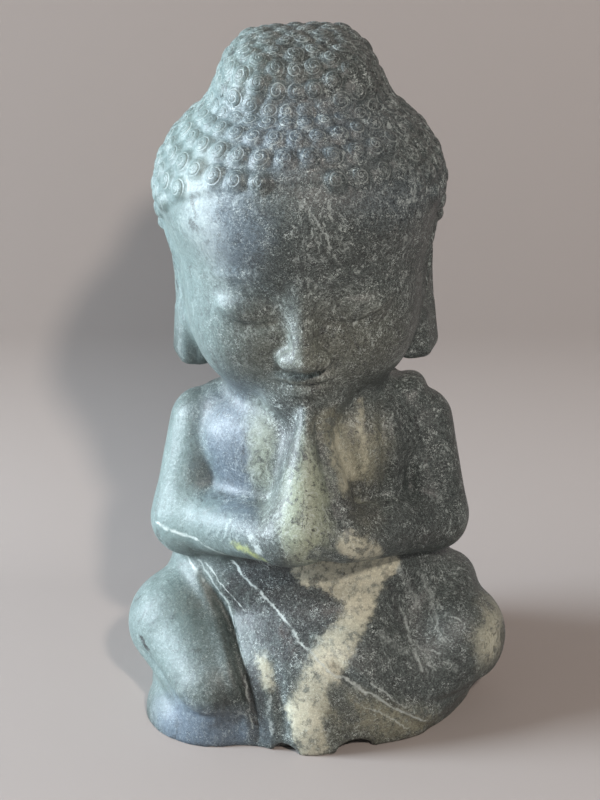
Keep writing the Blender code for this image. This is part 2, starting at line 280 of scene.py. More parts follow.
def head():
    """The hair, crown, face and neck, mostly in eggs, and the ears in slabs, all in the head's frame."""

    def egg(*sizes):
        return Egg(*sizes, frame=HEAD_FRAME)

    def limb(*sizes):
        return Limb(*sizes, frame=HEAD_FRAME)

    yield Mass(egg((0, 2, 13.2), (39.2, 38, 27.2)), 3)
    yield Mass(egg((0, 4, 2), (37.6, 37, 30)), 3)
    yield Mass(egg((0.6, 9, 29.5), (24.6, 23, 22)), 3)
    yield Mass(Slab((0.6, 9, 37), (20, 19, 14), 11.5, (0, 0, 0), HEAD_FRAME), 3)
    yield Mass(egg((0, 7, -26), (24, 19, 22)), 6)
    yield Mass(egg((0, 0, -8), (32.5, 33, 34)), 5)
    for side in both(egg((12, -7, -21), (20.5, 25, 24))):
        yield Mass(side, 7)
    yield Mass(egg((0, -22, -31), (14, 10.5, 10)), 6)
    for side in both(egg((13.5, -40, -8), (9.5, 6.5, 6))):
        yield Mass(side, 5, hollow=True)
    for side in both(egg((14, -26.8, -9), (9.3, 6.2, 5.4))):
        yield Mass(side, 2.5)
    for side in both(egg((4.4, -34, -22.5), (3.1, 3.8, 2.7))):
        yield Mass(side, 2)
    yield Mass(limb((0, -31, -3), (0, -37, -21), 2.4, 3.6), 4)
    yield Mass(egg((0, -31.8, -29.3), (8.3, 3.4, 1.9)), 1.6)
    yield Mass(egg((0, -31.4, -32.8), (6.2, 3.6, 2.3)), 1.6)
    yield Mass(egg((0, -26, -39), (10, 7, 7)), 6)
    for side in both(egg((2.6, -36.5, -25.3), (1.3, 2.2, 1.2))):
        yield Mass(side, 0.8, hollow=True)
    for side in both(Slab((31.6, 1, -18), (2.3, 9.5, 21), 2.2, (0, -2, -30), HEAD_FRAME)):
        yield Mass(side, 1.5)
    for side in both(Slab((33.2, -1.5, -31.8), (4.0, 5.6, 8.8), 2.8, (0, -7, -20), HEAD_FRAME)):
        yield Mass(side, 5)
    for side in both(egg((35.8, -1.5, -9), (3, 4.5, 9), (0, 0, -30))):
        yield Mass(side, 1.5, hollow=True)


def hem_arches():
    """Two small arches under the hem, either side of the cloth that hangs in front."""
    yield Mass(Egg((12.5, -43, 0), (5.5, 9, 3.4)), 1, hollow=True)
    yield Mass(Egg((-7.5, -44, 0), (3.6, 8, 2.6)), 1, hollow=True)


def folds():
    """The robe's edge and folds, the layers of the hem, and the line between the hands."""
    yield Stroke([(19.5, 98), (21.5, 80), (20.5, 68)], 1.3, 1.2)
    yield Stroke([(22.3, 98), (24.3, 80), (23.3, 68)], -1.0, 1.4)
    yield Stroke([(26.5, 92), (29, 78), (28.5, 67)], 1.1, 1.5)
    yield Stroke([(33, 86), (35, 74), (42, 66)], 0.9, 1.6)
    yield Stroke([(-51, 20), (-42, 18), (-40, 8), (-33, 8), (-26, 10)], 1.5, 1.6)
    yield Stroke([(-33, 44), (-26, 34), (-17, 20), (-15.5, 2)], 1.7, 1.1)
    yield Stroke([(-35.5, 43), (-28.5, 33), (-19.5, 19), (-18, 2)], -1.1, 1.8)
    yield Stroke([(53, 10), (42, 5), (32, 9), (20, 20)], 1.4, 1.8)
    yield Stroke([(6, 27), (20, 14), (36, 0)], 1.3, 1.5)
    yield Stroke([(-12, 26), (-7, 14), (-9, 2)], 1.3, 2.0)
    yield Stroke([(0.8, 97), (3.2, 86), (7.6, 68)], 1.0, 0.8)
    yield Stroke([(-34, 66), (-5, 78), (24, 97)], 1.2, 1.8, front=False)
    yield Stroke([(-38, 44), (-4, 60), (32, 86)], 1.2, 2.0, front=False)
    yield Stroke([(-36, 24), (2, 34), (38, 58)], 1.2, 2.2, front=False)


def features():
    """The lids, brows and mouth: a line each, mirrored where there are two."""
    for side in (-1, 1):
        yield Stroke([(side * 5.5, -11), (side * 14, -16), (side * 23, -9)], 0.7, 0.9, HEAD_FRAME)
        yield Stroke([(side * 5, -2), (side * 13, 4), (side * 24, -1)], -0.6, 1.6, HEAD_FRAME)
        yield Stroke([(side * 6, -6.5), (side * 14, -2.5), (side * 23, -6.5)], 0.4, 0.8, HEAD_FRAME)
    yield Stroke([(-8.5, -30), (0, -32.5), (8.5, -30)], 0.7, 0.7, HEAD_FRAME)


MASSES = [*torso(), *robe(), *legs(), *arms(), *hands(), *head(), *hem_arches()]
STROKES = [*folds(), *features()]


def figure(p):
    """Distance to the blended masses, in units, cut off at the table."""
    form = MASSES[0].shape.distance(p)
    for mass in MASSES[1:]:
        distance = mass.shape.distance(p)
        if mass.hollow:
            form = -joined(-form, distance, mass.soft)
        else:
            form = joined(form, distance, mass.soft)
    return -joined(-form, p[:, 2], TABLE_EDGE)


def slope_of(form, points, here):
    """How fast the form grows along X, Y and Z, from its values a short step away."""
    step = 0.05
    return np.stack([form(points + step * axis) - here for axis in np.eye(3)], 1) / step


def settled(points, form, rounds=3, longest_move=3):
    """Points moved along the form's slope until they lie on it."""
    for _ in range(rounds):
        here = form(points)
        slope = slope_of(form, points, here)
        steepness = np.maximum((slope**2).sum(axis=1), 0.1)
        move = np.clip(here / steepness, -longest_move, longest_move)
        points = points - move[:, None] * slope
    return points


def normals_of(points):
    slope = slope_of(figure, points, figure(points))
    return slope / np.maximum(length(slope), 1e-6)[:, None]


def above_hairline(q):
    """Height above the hairline of points in the head's frame."""
    return (q[:, 2] + HAIRLINE_FALL * q[:, 1] - HAIRLINE_HEIGHT) / math.hypot(1, HAIRLINE_FALL)


def scalp_reach(origin, rays, outside=60.0, rounds=30):
    """Where rays that start inside the skull leave it, in the head's frame; the search starts outside."""
    reach = np.full(len(rays), outside)
    place = np.array(HEAD_FRAME)
    for _ in range(rounds):
        q = origin + reach[:, None] * rays
        reach -= figure(q @ place[:3, :3].T + place[:3, 3])
    return origin + reach[:, None] * rays


def curl_places(spacing):
    """Centres of the snail curls: rows round the crown, each row staggered by half a curl."""
    crown = np.array(CURLS_MIDDLE)
    polar = np.radians(np.arange(0, CURLS_REACH, 0.5))
    profile = scalp_reach(crown, np.stack([np.zeros_like(polar), np.sin(polar), np.cos(polar)], 1))
    run = np.concatenate([[0], np.cumsum(length(np.diff(profile, axis=0)))])
    rays = []
    for row in range(int(run[-1] / spacing)):
        down = np.interp((row + 0.5) * spacing, run, polar)
        widest = np.interp(down, polar, length(profile[:, 1:] - crown[1:])) * math.sin(down)
        around = max(3, round(2 * math.pi * widest / spacing))
        turn = 2 * math.pi * (np.arange(around) + 0.5 * (row % 2)) / around
        flat = math.sin(down)
        rays.append(np.stack([flat * np.sin(turn), flat * np.cos(turn), np.full(around, math.cos(down))], 1))
    places = scalp_reach(crown, np.concatenate(rays))
    return places[above_hairline(places) > 0.2 * spacing]


def nearest_curl(q, places):
    """The number of the nearest curl and the square of its distance, for each point."""
    near = np.full(len(q), np.inf)
    which = np.zeros(len(q), int)
    for n, place in enumerate(places):
        away = ((q - place) ** 2).sum(axis=1)
        closer = away < near
        near = np.where(closer, away, near)
        which = np.where(closer, n, which)
    return which, near


def hair_relief(p, places, spacing, curl_height, thickness):
    """The hair stands out above the hairline, and each curl is a flat dome on it: 1 - (r / radius) cubed."""
    q = seen_from(HEAD_FRAME, p)
    _, near = nearest_curl(q, places)
    radius = CURL_RADIUS * spacing
    dome = curl_height * np.maximum(1 - (near / radius**2) ** 1.5, 0)
    cap = thickness * np.clip(above_hairline(q) / 1.5, 0, 1)
    return (cap + dome) * (q[:, 2] > NAPE_HEIGHT)


def ear_relief(p):
    """The rim of each ear and the fold inside it: bell curves across ellipses seen from the side."""
    q = seen_from(HEAD_FRAME, p)
    (centre_y, centre_z), (radius_y, radius_z) = EAR_CENTRE, EAR_RADII
    level = np.hypot((q[:, 1] - centre_y) / radius_y, (q[:, 2] - centre_z) / radius_z)
    rim = EAR_RIM_HEIGHT * np.exp(-(((level - 1) / 0.16) ** 2))
    fold = EAR_FOLD_HEIGHT * np.exp(-(((level - 0.45) / 0.12) ** 2)) * (q[:, 1] > -2)
    return (rim + fold) * np.clip((np.abs(q[:, 0]) - EAR_STARTS) / 2, 0, 1)


def unevenness(p):
    """The waves that a hand-held grinder leaves: products of sines, broad and small, within 0.15 units."""
    x, y, z = p.T
    broad = np.sin(x / 5.1 + 0.7 * np.sin(z / 7.3)) * np.sin(z / 6.2 + y / 8.5)
    small = np.sin(x / 2.3 + z / 3.1) * np.sin(y / 2.7 - z / 2.9)
    return 0.10 * broad + 0.05 * small


def points_of(mesh):
    points = np.empty(len(mesh.vertices) * 3, np.float32)
    mesh.vertices.foreach_get("co", points)
    return points.reshape(-1, 3).astype(float)


def put_points(mesh, points):
    mesh.vertices.foreach_set("co", points.astype(np.float32).ravel())
    mesh.update()


def merged_copy(node):
    """A CAD node's mesh with its loose triangles joined."""
    bm = bmesh.new()
    bm.from_mesh(node.data)
    bmesh.ops.remove_doubles(bm, verts=bm.verts[:], dist=1e-6)
    mesh = bpy.data.meshes.new("stone_carving")
    bm.to_mesh(mesh)
    bm.free()
    return mesh


def remesh(obj, grain):
    modifier = obj.modifiers.new("remesh", "REMESH")
    modifier.mode = "VOXEL"
    modifier.voxel_size = grain
    graph = bpy.context.evaluated_depsgraph_get()
    mesh = bpy.data.meshes.new_from_object(obj.evaluated_get(graph))
    obj.modifiers.remove(modifier)
    obj.data = mesh


def mark_curls(mesh, points, places, spacing):
    """Writes each face corner's place in its curl, in curl widths: across, up, and 1 where there is hair.

    All corners of a face belong to the curl nearest its middle, so that no spiral is smeared between two.
    """
    corners = np.empty(len(mesh.loops), np.int32)
    mesh.loops.foreach_get("vertex_index", corners)
    sides = np.empty(len(mesh.polygons), np.int32)
    mesh.polygons.foreach_get("loop_total", sides)
    face = np.repeat(np.arange(len(sides)), sides)
    q = seen_from(HEAD_FRAME, points)
    middle = np.zeros((len(sides), 3))
    np.add.at(middle, face, q[corners])
    middle /= sides[:, None]

    hair = (above_hairline(middle) > -0.5) & (middle[:, 2] > NAPE_HEIGHT)
    which = np.zeros(len(sides), int)
    which[hair], _ = nearest_curl(middle[hair], places)

    place = np.array(HEAD_FRAME)
    out = normals_of(places @ place[:3, :3].T + place[:3, 3]) @ place[:3, :3]
    across = np.cross(out, (0, 0, 1.0))
    across /= np.maximum(length(across), 1e-3)[:, None]
    up = np.cross(across, out)
    turn = np.arange(len(places)) * SPIRAL_TURN
    along = np.cos(turn)[:, None] * across + np.sin(turn)[:, None] * up
    aside = np.cos(turn)[:, None] * up - np.sin(turn)[:, None] * across

    curl = which[face]
    offset = (q[corners] - places[curl]) / spacing
    values = np.stack([(offset * along[curl]).sum(1), (offset * aside[curl]).sum(1), hair[face]], 1)
    attribute = mesh.attributes.new("curl", "FLOAT_VECTOR", "CORNER")
    attribute.data.foreach_set("vector", values.astype(np.float32).ravel())


def carve(sizes):
    """The carving as one object: the solid's mesh, remeshed, settled on the masses and carved."""
    unit = sizes.height / UNITS_TALL
    obj = bpy.data.objects.new("stone_carving", merged_copy(frame["nodes"]["buddha_carving"]))
    bpy.context.scene.collection.objects.link(obj)
    remesh(obj, sizes.grain)
    mesh = obj.data
    spacing = sizes.curl_width / unit
    places = curl_places(spacing)
    points = settled(points_of(mesh) / unit, figure)
    mark_curls(mesh, points, places, spacing)
    relief = hair_relief(points, places, spacing, sizes.curl_height / unit, sizes.hair_thickness / unit)
    relief += sum(stroke.relief(points) for stroke in STROKES) + ear_relief(points) + unevenness(points)
    points = points + relief[:, None] * normals_of(points)
    points[:, 2] = np.maximum(points[:, 2], 0)
    put_points(mesh, points * unit)
    mesh.shade_smooth()
    return obj


class Wiring:
    """Adds nodes to a tree. An input is given as a socket to join or as a plain value to set."""

    def __init__(self, tree):
        self.tree = tree

    def node(self, kind, values=None, **settings):
        node = self.tree.nodes.new(kind)
        for name, value in settings.items():
            setattr(node, name, value)
        for key, value in (values or {}).items():
            if isinstance(value, bpy.types.NodeSocket):
                self.tree.links.new(value, node.inputs[key])
            else:
                node.inputs[key].default_value = value
        return node

    def maths(self, operation, *values):
        return self.node("ShaderNodeMath", dict(enumerate(values)), operation=operation).outputs[0]

    def vector_maths(self, operation, values):
        return self.node("ShaderNodeVectorMath", dict(enumerate(values)), operation=operation).outputs

    def vector(self, operation, *values):
        return self.vector_maths(operation, values)["Vector"]

    def number(self, operation, *values):
        return self.vector_maths(operation, values)["Value"]

    def scaled(self, vector, scale):
        values = {"Vector": vector, "Scale": scale}
        return self.node("ShaderNodeVectorMath", values, operation="SCALE").outputs["Vector"]

    def ramp(self, value, low, high):
        """0 at low, 1 at high, with a smooth step between; low may be above high."""
        values = {"Value": value, "From Min": low, "From Max": high}
        return self.node("ShaderNodeMapRange", values, interpolation_type="SMOOTHSTEP").outputs[0]

    def between(self, mask, low, high):
        """Runs from low, where the mask is 0, to high, where it is 1."""
        return self.maths("MULTIPLY_ADD", mask, high - low, low)

    def noise(self, place, scale, detail=3.0, roughness=0.5, distortion=0.0):
        values = {"Vector": place, "Scale": scale, "Detail": detail, "Roughness": roughness}
        values["Distortion"] = distortion
        return self.node("ShaderNodeTexNoise", values).outputs

    def mix(self, share, a, b):
        return self.node("ShaderNodeMix", {0: share, 6: a, 7: b}, data_type="RGBA").outputs[2]

    def tint(self, look, mask, strength, colour):
        """The look with a colour laid over it, as strongly as the mask times the strength."""
        return self.mix(self.maths("MULTIPLY", mask, strength), look, colour)

    def group(self, tree, **values):
        node = self.node("ShaderNodeGroup", node_tree=tree)
        for name, value in values.items():
            socket = node.inputs[name.replace("_", " ").capitalize()]
            if isinstance(value, bpy.types.NodeSocket):
                self.tree.links.new(value, socket)
            else:
                socket.default_value = value
        return node.outputs


def new_group(name, inputs, outputs):
    """An empty node group with its sockets, each given as name: (kind, default)."""
    tree = bpy.data.node_groups.new(name, "ShaderNodeTree")
    for direction, sockets in (("INPUT", inputs), ("OUTPUT", outputs)):
        for label, (kind, default) in sockets.items():
            socket = tree.interface.new_socket(label, in_out=direction, socket_type=f"NodeSocket{kind}")
            socket.default_value = default
    wiring = Wiring(tree)
    return tree, wiring, wiring.node("NodeGroupInput").outputs, wiring.node("NodeGroupOutput").inputs


def warp_group():
    """A place pushed about by noise, so that what is drawn on it gets a natural, wandering edge."""
    sockets = {"Place": ("Vector", (0, 0, 0)), "Amount": ("Float", 5.0), "Scale": ("Float", 0.05)}
    tree, w, given, result = new_group("Wandering Place", sockets, {"Place": ("Vector", (0, 0, 0))})
    noise = w.noise(given["Place"], given["Scale"], detail=4.0, roughness=0.6)
    push = w.vector("SUBTRACT", noise["Color"], (0.5, 0.5, 0.5))
    w.tree.links.new(w.vector("ADD", given["Place"], w.scaled(push, given["Amount"])), result["Place"])
    return tree


def patch_group():
    """An egg-shaped patch: 1 in the middle, falling to 0 round the surface of the egg."""
    sockets = {
        "Place": ("Vector", (0, 0, 0)),
        "Centre": ("Vector", (0, 0, 0)),
        "Radii": ("Vector", (10, 10, 10)),
        "Softness": ("Float", 0.5),
    }
    tree, w, given, result = new_group("Stone And Sheen Patch", sockets, {"Mask": ("Float", 0.0)})
    offset = w.vector("DIVIDE", w.vector("SUBTRACT", given["Place"], given["Centre"]), given["Radii"])
    inner = w.maths("SUBTRACT", 1.0, given["Softness"])
    outer = w.maths("ADD", 1.0, given["Softness"])
    w.tree.links.new(w.ramp(w.number("LENGTH", offset), outer, inner), result["Mask"])
    return tree


def band_group():
    """A band seen from the front: 1 near the line from start to end, falling to 0 at its half width.

    Edge is the share of the half width that the fall takes."""
    sockets = {
        "Place": ("Vector", (0, 0, 0)),
        "Start": ("Vector", (0, 0, 0)),
        "End": ("Vector", (0, 0, 10)),
        "Width": ("Float", 0.5),
        "Edge": ("Float", 1.0),
    }
    tree, w, given, result = new_group("Stone Band And Highlight", sockets, {"Mask": ("Float", 0.0)})
    axis = w.vector("SUBTRACT", given["End"], given["Start"])
    offset = w.vector("MULTIPLY", w.vector("SUBTRACT", given["Place"], given["Start"]), (1, 0, 1))
    share = w.maths("DIVIDE", w.number("DOT_PRODUCT", offset, axis), w.number("DOT_PRODUCT", axis, axis))
    share = w.maths("MINIMUM", w.maths("MAXIMUM", share, 0.0), 1.0)
    away = w.number("LENGTH", w.vector("SUBTRACT", offset, w.scaled(axis, share)))
    inner = w.maths("MULTIPLY", given["Width"], w.maths("SUBTRACT", 1.0, given["Edge"]))
    depth = w.node("ShaderNodeSeparateXYZ", {0: given["Place"]}).outputs["Y"]
    line = w.maths("MULTIPLY", w.ramp(away, given["Width"], inner), w.ramp(depth, 2.0, -4.0))
    w.tree.links.new(line, result["Mask"])
    return tree


def speck_group():
    """Crystal grain: its pale specks and its height."""
    sockets = {"Place": ("Vector", (0, 0, 0)), "Scale": ("Float", 1.0)}
    outputs = {"Pale": ("Float", 0.0), "Height": ("Float", 0.0)}
    tree, w, given, result = new_group("Crystal Specks", sockets, outputs)
    grain = w.noise(given["Place"], given["Scale"], detail=3.0, roughness=0.85, distortion=1.2)[0]
    clusters = w.noise(given["Place"], w.maths("MULTIPLY", given["Scale"], 0.16), detail=3.0)[0]
    pale = w.ramp(w.maths("ADD", grain, w.maths("MULTIPLY", clusters, 0.45)), 0.80, 0.94)
    w.tree.links.new(pale, result["Pale"])
    w.tree.links.new(grain, result["Height"])
    return tree


def spiral_group():
    """The spiral cut in a curl: a wave of r * turns - a, where r is the distance out and a the angle."""
    sockets = {"Curl": ("Vector", (0, 0, 0)), "Turns": ("Float", 5.0)}
    tree, w, given, result = new_group("Snail Spiral", sockets, {"Line": ("Float", 0.0)})
    parts = w.node("ShaderNodeSeparateXYZ", {0: given["Curl"]}).outputs
    angle = w.maths("DIVIDE", w.maths("ARCTAN2", parts[1], parts[0]), 2 * math.pi)
    flat = w.vector("MULTIPLY", given["Curl"], (1, 1, 0))
    radius = w.number("LENGTH", flat)
    phase = w.maths("SUBTRACT", w.maths("MULTIPLY", radius, given["Turns"]), angle)
    wave = w.maths("COSINE", w.maths("MULTIPLY", phase, 2 * math.pi))
    inside = w.maths("MULTIPLY", w.ramp(radius, 0.52, 0.42), parts[2])
    w.tree.links.new(w.maths("MULTIPLY", w.ramp(wave, 0.35, 0.95), inside), result["Line"])
    return tree


# Broad patches of the block, in units: where it is paler, darker, creamier or bluer, front first. Two of them
# on the left brow are a painted sheen.
PATCHES = [
    Patch("deep_green", (34, 0, 150), (36, 60, 45), 0.6, 0.8),
    Patch("mint", (-42, -5, 165), (22, 60, 45), 0.5, 0.8),
    Patch("mint", (-30, -5, 190), (18, 50, 16), 0.5, 0.7),
    Patch("deep_green", (16, -8, 182), (26, 60, 26), 0.5, 0.85),
    Patch("deep_green", (2, -40, 150), (16, 30, 12), 0.6, 0.7),
    # Painted sheen: the bluish patch and the white patch below paint the bluish-white sheen on the left brow
    # and temple
    Patch("blue_grey", (-22, -38, 152), (9, 20, 14), 0.7, 0.6),
    Patch("white", (-28, -32, 152), (5, 20, 16), 0.8, 0.4),
    Patch("white", (-20, -30, 92), (8, 20, 9), 0.9, 0.35),
    Patch("mint", (-32, -20, 125), (9, 40, 22), 0.6, 0.6),
    Patch("beige", (6, -34, 118), (22, 20, 12), 0.9, 0.45),
    Patch("blue_grey", (-2, -30, 177), (20, 30, 8), 0.9, 0.6),
    Patch("blue_grey", (20, -20, 160), (14, 30, 6), 0.9, 0.4),
    Patch("blue_grey", (-24, -24, 84), (12, 20, 20), 0.5, 0.75),
    Patch("pale_green", (-14, -26, 84), (4, 20, 13), 0.7, 0.6),
    Patch("mint", (-44, -5, 72), (14, 40, 26), 0.5, 0.7),
    Patch("pale_green", (-2, -44, 80), (7, 14, 22), 0.5, 0.9),
    Patch("beige", (15, -26, 82), (8, 20, 14), 0.5, 0.8),
    Patch("deep_green", (33, -10, 76), (13, 40, 24), 0.4, 0.8),
    Patch("mint", (-30, -24, 60), (20, 20, 9), 0.5, 0.6),
    Patch("mint", (-46, -10, 24), (14, 40, 22), 0.5, 0.7),
    Patch("olive", (16, -40, 6), (14, 20, 9), 0.6, 0.8),
    Patch("deep_green", (28, -26, 30), (9, 30, 16), 0.5, 0.7),
    Patch("cream", (51, -18, 25), (6, 9, 9), 0.6, 0.8),
    Patch("blue_grey", (-32, -40, 4), (16, 16, 8), 0.5, 0.8),
    Patch("cream", (10, 40, 60), (14, 24, 26), 0.7, 0.6),
    Patch("charcoal", (-14, 42, 28), (18, 24, 18), 0.6, 0.6),
    Patch("mint", (-10, 46, 150), (20, 20, 26), 0.7, 0.6),
]

# Bands with a crisp edge on the front, in units: from and to (across, up), half width, edge and strength
BANDS = [
    Band("charcoal", (-8, 99), (-6, 88), 5.0, 0.9, 0.6),
    Band("beige", (4, 97), (13, 80), 6.5, 0.8, 0.7),
    Band("cream", (6, 90), (10, 80), 3.5, 1.0, 0.6),
    Band("cream", (13, 98), (15, 80), 2.0, 1.0, 0.5),
    Band("charcoal", (8, 75), (17, 73), 4.0, 0.6, 0.7),
    Band("cream", (10, 66), (17, 60), 4.5, 0.6, 0.8),
    Band("grey_green", (2, 64), (6, 60), 4.0, 0.5, 0.8),
    Band("white", (-17, 66), (-15, 63), 2.0, 0.9, 0.6),
    Band("yellow_green", (-21, 61.5), (-14, 60), 2.4, 0.9, 0.7),
    Band("charcoal", (-15, 48), (3, 39), 7.5, 0.15, 0.95),
    Band("charcoal", (-18, 40), (-8, 34), 8.0, 0.15, 0.95),
    Band("charcoal", (-17.5, 22), (-15.5, 9), 3.0, 0.3, 0.9),
    Band("cream", (-1, 50), (20, 48.5), 6.0, 0.25, 0.85),
    Band("cream", (5, 46), (11, 41), 4.0, 0.4, 0.75),
    Band("cream", (19, 47), (14, 38), 5.5, 0.4, 0.75),
    Band("cream", (14, 38), (5, 27), 5.0, 0.4, 0.75),
    Band("cream", (5, 27), (-2, 13), 7.0, 0.5, 0.75),
    Band("cream", (-3, 13), (1, 2), 6.0, 0.5, 0.75),
    Band("cream", (-14, 25), (-12, 20), 3.6, 0.9, 0.7),
    Band("beige", (9, 15), (32, 3), 8.0, 0.8, 0.85),
    Band("deep_green", (7, 19), (11, 11), 3.5, 0.6, 0.7),
    Band("grey_green", (-11, 15), (-9, 5), 3.5, 0.8, 0.6),
    Band("charcoal", (-9, 23), (-10, 14), 0.9, 0.8, 0.7),
    Band("charcoal", (27, 44), (33, 26), 1.8, 1.0, 0.6),
    Band("charcoal", (22, 46), (26, 30), 1.6, 1.0, 0.5),
    Band("white", (25, 47), (31, 33), 1.4, 1.0, 0.45),
    Band("white", (33, 42), (37, 30), 1.2, 1.0, 0.40),
    Band("white", (20, 31), (26, 26), 1.6, 1.0, 0.40),
    Band("white", (-12.5, 16), (-11.5, 6), 0.7, 1.0, 0.5),
    Band("russet", (-9, 33), (-6, 30), 2.5, 0.9, 0.5),
    Band("charcoal", (30.5, 89.2), (30.8, 87.6), 0.9, 0.5, 1.0),
    Band("charcoal", (-50.5, 24), (-48.5, 22), 0.9, 0.5, 1.0),
]

# White veins on the front, as bands, and a painted highlight along the ridge of the left leg's fold
VEINS = [
    Band("white", (-23, 50), (-14, 40), 0.8, 1.0, 0.95),
    Band("white", (-14, 40), (-2, 30.5), 0.7, 1.0, 0.95),
    Band("white", (-2, 30.5), (10, 22), 0.6, 1.0, 0.7),
    Band("white", (10, 22), (33, 5), 0.7, 1.0, 0.9),
    Band("white", (16, 21), (30, 9), 0.4, 1.0, 0.7),
    Band("white", (12, 17), (28, 4), 0.35, 1.0, 0.6),
    Band("white", (-31, 46), (-20, 35), 0.45, 1.0, 0.7),
    # Painted highlight: these three white lines run along the ridge of the left leg's fold
    Band("white", (-33, 46), (-26, 37), 0.7, 1.0, 0.5),
    Band("white", (-26, 37), (-19.5, 24), 0.6, 1.0, 0.6),
    Band("white", (-19.5, 24), (-17, 6), 0.5, 1.0, 0.6),
    Band("white", (-45, 58), (-33, 57), 0.9, 1.0, 0.9),
    Band("white", (-33, 57), (-20, 53), 0.6, 1.0, 0.7),
    Band("white", (-43, 50), (-32, 41), 0.7, 1.0, 0.6),
    Band("white", (-2, 162), (4, 150), 0.4, 1.0, 0.6),
    Band("white", (4, 150), (8, 142), 0.4, 1.0, 0.5),
    Band("white", (26, 34), (32, 20), 0.8, 1.0, 0.6),
]


# How strongly each layer of the stone shows, from 0 to 1
PALE_WISPS = 0.22
DARK_WISPS = 0.60
STREAKS = 0.60
DARK_GRAIN = 0.72
PALE_GRAIN = 0.22
SPECKS = 0.85
SPIRAL_LINES = 0.30

# The stone grows clearer towards this place on the viewer's left, in units across
CLEAR_STONE = -38.0

# The power that deepens the dark tones, and what all tones are then multiplied by
CONTRAST = 1.16
BRIGHTNESS = 1.38

# The waxed surface: its roughness from the best to the least polished, and the heights of its bumps in units
ROUGHNESS = (0.38, 0.52)
GRAIN_HEIGHT = 0.10
SPIRAL_DEPTH = 0.16
WAVE_HEIGHT = 0.25
WAXED_STONE = {
    "Metallic": 0.0,
    "IOR": 1.54,
    "Specular IOR Level": 0.40,
    "Subsurface Weight": 0.08,
    "Subsurface Radius": (0.8, 1.0, 0.9),
    "Subsurface Scale": 0.004,
    "Coat Weight": 0.04,
    "Coat Roughness": 0.30,
}


def band_mask(w, group, place, line):
    """The mask of a band whose ends are given across and up."""
    start, end = ((across, 0, up) for across, up in (line.start, line.end))
    mask = w.group(group, place=place, start=start, end=end, width=line.width, edge=line.edge)[0]
    return w.maths("MULTIPLY", mask, line.strength)


def wandered(w, warp, place, *steps):
    """A place pushed about by each step in turn: how far, and on what scale of noise."""
    for amount, scale in steps:
        place = w.group(warp, place=place, amount=amount, scale=scale)[0]
    return place


def stone_body_and_sheen(w, colour, wandering, wisps):
    """The block: two greens in clouds, the broad patches, among them a painted sheen on the left brow, and
    pale and dark wisps over them.
    """
    cloud = w.noise(wandering, 0.05, detail=5.0, roughness=0.6)[0]
    look = w.mix(w.ramp(cloud, 0.35, 0.65), colour["deep_green"], colour["grey_green"])
    group = patch_group()
    for patch in PATCHES:
        egg = {"centre": patch.centre, "radii": patch.radii, "softness": patch.softness}
        look = w.tint(look, w.group(group, place=wandering, **egg)[0], patch.strength, colour[patch.colour])
    look = w.tint(look, w.ramp(wisps, 0.56, 0.76), PALE_WISPS, colour["white"])
    return w.tint(look, w.ramp(wisps, 0.45, 0.28), DARK_WISPS, colour["charcoal"])


def streaked(w, look, colour, wandering, across):
    """Short upright streaks, white and dark, which fade towards the viewer's left."""
    cloudy = w.between(w.ramp(across, CLEAR_STONE, 5.0), 0.3, 1.0)
    patchy = w.maths("MULTIPLY", w.ramp(w.noise(wandering, 0.09, detail=2.0)[0], 0.40, 0.62), cloudy)
    upright = w.vector("MULTIPLY", wandering, (1, 1, 0.28))
    streaks = w.noise(upright, 0.95, detail=4.0, roughness=0.6)[0]
    pale = w.maths("MULTIPLY", w.ramp(streaks, 0.52, 0.66), patchy)
    dark = w.maths("MULTIPLY", w.ramp(streaks, 0.48, 0.36), cloudy)
    return w.tint(w.tint(look, pale, STREAKS, colour["white"]), dark, STREAKS, colour["charcoal"])


def banded(w, look, colour, warp, place):
    """The bands, mottled, and the veins with the painted highlight along the left leg's fold, broken here and
    there, on places that wander a little.
    """
    group = band_group()
    near = wandered(w, warp, place, (5.0, 0.16), (2.4, 0.8))
    mottle = w.noise(place, 0.45, detail=4.0, roughness=0.7)[0]
    mottled = w.between(w.ramp(mottle, 0.40, 0.54), 0.4, 1.0)
    for band in BANDS:
        look = w.tint(look, band_mask(w, group, near, band), mottled, colour[band.colour])

    thin = wandered(w, warp, place, (4.0, 0.12), (1.5, 0.6))
    broken = w.ramp(w.noise(place, 0.35, detail=3.0)[0], 0.30, 0.55)
    for vein in VEINS:
        look = w.tint(look, band_mask(w, group, thin, vein), broken, colour[vein.colour])
    return look


def grained(w, look, colour, specks, across):
    """Dark and pale crystal grain with white specks, weaker on the viewer's left and on pale stone."""
    bright = w.node("ShaderNodeRGBToBW", {0: look}).outputs[0]
    where = w.between(w.ramp(across, CLEAR_STONE, 0.0), 0.4, 1.0)
    grainy = w.maths("MULTIPLY", where, w.between(w.ramp(bright, 0.30, 0.10), 0.45, 1.0))
    dim = w.tint(look, grainy, DARK_GRAIN, colour["charcoal"])
    lit = w.tint(look, grainy, PALE_GRAIN, colour["white"])
    look = w.mix(w.ramp(specks["Height"], 0.40, 0.66), dim, lit)
    return w.tint(look, w.maths("MULTIPLY", specks["Pale"], grainy), SPECKS, colour["white"])


